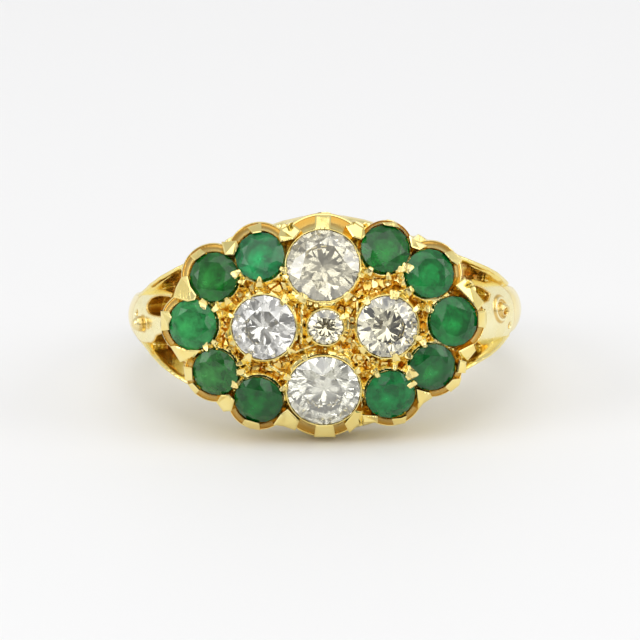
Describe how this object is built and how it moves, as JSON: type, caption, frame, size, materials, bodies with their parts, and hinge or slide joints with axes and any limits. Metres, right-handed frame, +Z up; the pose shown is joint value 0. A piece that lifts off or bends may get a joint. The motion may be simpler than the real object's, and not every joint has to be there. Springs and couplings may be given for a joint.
{
  "type": "emerald and diamond cluster ring",
  "caption": "Gold finger ring with a domed boat-shaped head of claw-set round emeralds and diamonds on a split, carved shank, lying on its side.",
  "frame": {"origin": "on the surface that the ring lies on, under the middle of its box", "axes": "+Z up from the surface; -Y the side that the head faces, +Y toward the back of the shank; +X across the ring"},
  "size_m": [0.021, 0.0232, 0.0117],
  "materials": {
    "gold": "polished 18 carat yellow gold, darker and duller in the recesses",
    "emerald": "polished round mixed cut, cloudy with inclusions",
    "diamond": "polished round brilliant cut"
  },
  "bodies": {
    "root": {"gold_mount": "gold", "emerald_left_1": "emerald", "emerald_left_2": "emerald", "emerald_left_3": "emerald", "emerald_left_4": "emerald", "emerald_left_5": "emerald", "emerald_right_1": "emerald", "emerald_right_2": "emerald", "emerald_right_3": "emerald", "emerald_right_4": "emerald", "emerald_right_5": "emerald", "diamond_top": "diamond", "diamond_bottom": "diamond", "diamond_left": "diamond", "diamond_right": "diamond", "diamond_centre": "diamond"}
  },
  "joints": []
}
